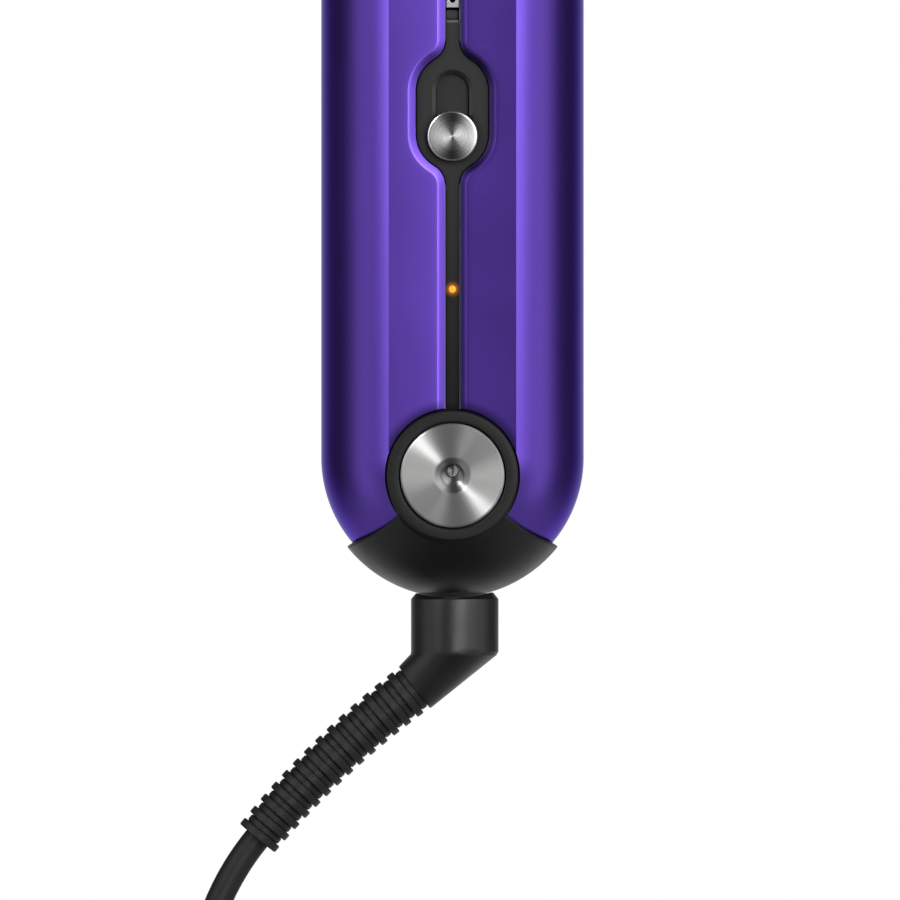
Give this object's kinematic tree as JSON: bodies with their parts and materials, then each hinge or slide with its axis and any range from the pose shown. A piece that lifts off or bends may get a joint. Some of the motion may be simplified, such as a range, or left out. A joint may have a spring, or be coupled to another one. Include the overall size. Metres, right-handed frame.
{
  "type": "cordless hair straightener",
  "caption": "Closed two-arm hair straightener with purple shells, black hinge cap, sliding tip lock and a magnetic swivel charging lead.",
  "frame": {"origin": "centre of the arm hinge: on its axis, midway between the two hinge discs", "axes": "+Z runs along the closed arms to their tips, +Y is the hinge axis pointing away from the face with the lock, +X crosses the seam towards the arm with the display"},
  "size_m": [0.0772, 0.0404, 0.4072],
  "materials": {
    "purple_lacquer": "satin metallic purple lacquer over moulded plastic",
    "black_plastic": "satin black moulding",
    "black_rubber": "matte black flexible jacket",
    "turned_steel": "turned and lacquered",
    "plate_alloy": "smooth coated heating plate",
    "glass_filled_nylon": "dark glass-filled moulding",
    "bush_bronze": "sintered bronze",
    "contact_brass": "plated contact",
    "magnet": "plated magnet",
    "carrier_ceramic": "moulded heat-proof carrier",
    "orange_silicone": "foamed silicone pad",
    "film_heater": "etched film heater",
    "cell_wrap": null,
    "circuit_board": "solder mask",
    "display_glass": "dark tinted window",
    "amber_lens": "lit amber lens"
  },
  "bodies": {
    "hinge_base": {"bowl_cap": "black_plastic", "charge_port": "black_plastic", "port_inner_contact": "contact_brass", "port_outer_contact": "contact_brass", "port_magnet": "magnet", "hinge_chassis": "glass_filled_nylon", "hinge_axle": "turned_steel", "hinge_spring": "turned_steel", "front_hinge_ring": "black_plastic", "front_hinge_disc": "turned_steel", "rear_hinge_ring": "black_plastic", "rear_hinge_disc": "turned_steel"},
    "left_arm": {"left_shell": "purple_lacquer", "left_liner": "glass_filled_nylon", "left_hinge_bracket": "glass_filled_nylon", "left_bush_front": "bush_bronze", "left_bush_rear": "bush_bronze", "left_cell_front": "cell_wrap", "left_cell_rear": "cell_wrap", "left_plate_carrier": "carrier_ceramic", "left_plate_cushion": "orange_silicone", "left_liner_screw": "turned_steel", "front_spine": "black_plastic", "lock_guide": "glass_filled_nylon", "status_light": "amber_lens", "power_board": "circuit_board"},
    "left_plate": {"left_plate": "plate_alloy", "left_heater": "film_heater"},
    "lock_slider": {"lock_knob": "turned_steel", "lock_carriage": "glass_filled_nylon"},
    "power_button": {"power_button": "black_plastic"},
    "right_arm": {"right_shell": "purple_lacquer", "right_liner": "glass_filled_nylon", "right_hinge_bracket": "glass_filled_nylon", "right_bush_front": "bush_bronze", "right_bush_rear": "bush_bronze", "right_cell_front": "cell_wrap", "right_cell_rear": "cell_wrap", "right_plate_carrier": "carrier_ceramic", "right_plate_cushion": "orange_silicone", "right_liner_screw": "turned_steel", "upper_spine": "black_plastic", "rear_spine": "black_plastic", "lock_keeper": "turned_steel", "control_board": "circuit_board", "display_panel": "display_glass", "display_window": "display_glass"},
    "right_plate": {"right_plate": "plate_alloy", "right_heater": "film_heater"},
    "plus_button": {"plus_button": "black_plastic"},
    "minus_button": {"minus_button": "black_plastic"},
    "lead_coupling": {"coupling_puck": "black_plastic", "coupling_magnet": "magnet", "inner_contact_pin": "contact_brass", "outer_contact_pin": "contact_brass"},
    "lead": {"lead_head": "black_plastic", "lead_boot": "black_rubber", "lead_cable": "black_rubber", "lead_plug": "black_plastic", "lead_plug_tip": "turned_steel"}
  },
  "joints": [
    {"name": "left_arm_hinge", "type": "hinge", "parent": "hinge_base", "child": "left_arm", "pos_m": [0, 0, 0], "axis": [0, -1, 0], "range_deg": [0, 7]},
    {"name": "right_arm_hinge", "type": "hinge", "parent": "hinge_base", "child": "right_arm", "pos_m": [0, 0, 0], "axis": [0, 1, 0], "range_deg": [0, 7]},
    {"name": "lock_slide", "type": "slide", "parent": "left_arm", "child": "lock_slider", "axis": [0, 0, 1], "range_m": [0, 0.0084]},
    {"name": "left_plate_float", "type": "slide", "parent": "left_arm", "child": "left_plate", "axis": [-1, 0, 0], "range_m": [0, 0.0008], "stiffness_N_per_m": 2500},
    {"name": "right_plate_float", "type": "slide", "parent": "right_arm", "child": "right_plate", "axis": [1, 0, 0], "range_m": [0, 0.0008], "stiffness_N_per_m": 2500},
    {"name": "power_press", "type": "slide", "parent": "left_arm", "child": "power_button", "axis": [1, 0, 0], "range_m": [0, 0.0006], "stiffness_N_per_m": 1500},
    {"name": "plus_press", "type": "slide", "parent": "right_arm", "child": "plus_button", "axis": [-1, 0, 0], "range_m": [0, 0.0006], "stiffness_N_per_m": 1500},
    {"name": "minus_press", "type": "slide", "parent": "right_arm", "child": "minus_button", "axis": [-1, 0, 0], "range_m": [0, 0.0006], "stiffness_N_per_m": 1500},
    {"name": "lead_pull_off", "type": "slide", "parent": "hinge_base", "child": "lead_coupling", "axis": [0, 0, -1], "range_m": [0, 0.015]},
    {"name": "lead_swivel", "type": "hinge", "parent": "lead_coupling", "child": "lead", "pos_m": [0, 0, -0.025], "axis": [0, 0, 1], "continuous": true}
  ],
  "couplings": [
    {"joint": "right_arm_hinge", "follows": "left_arm_hinge", "ratio": 1}
  ]
}
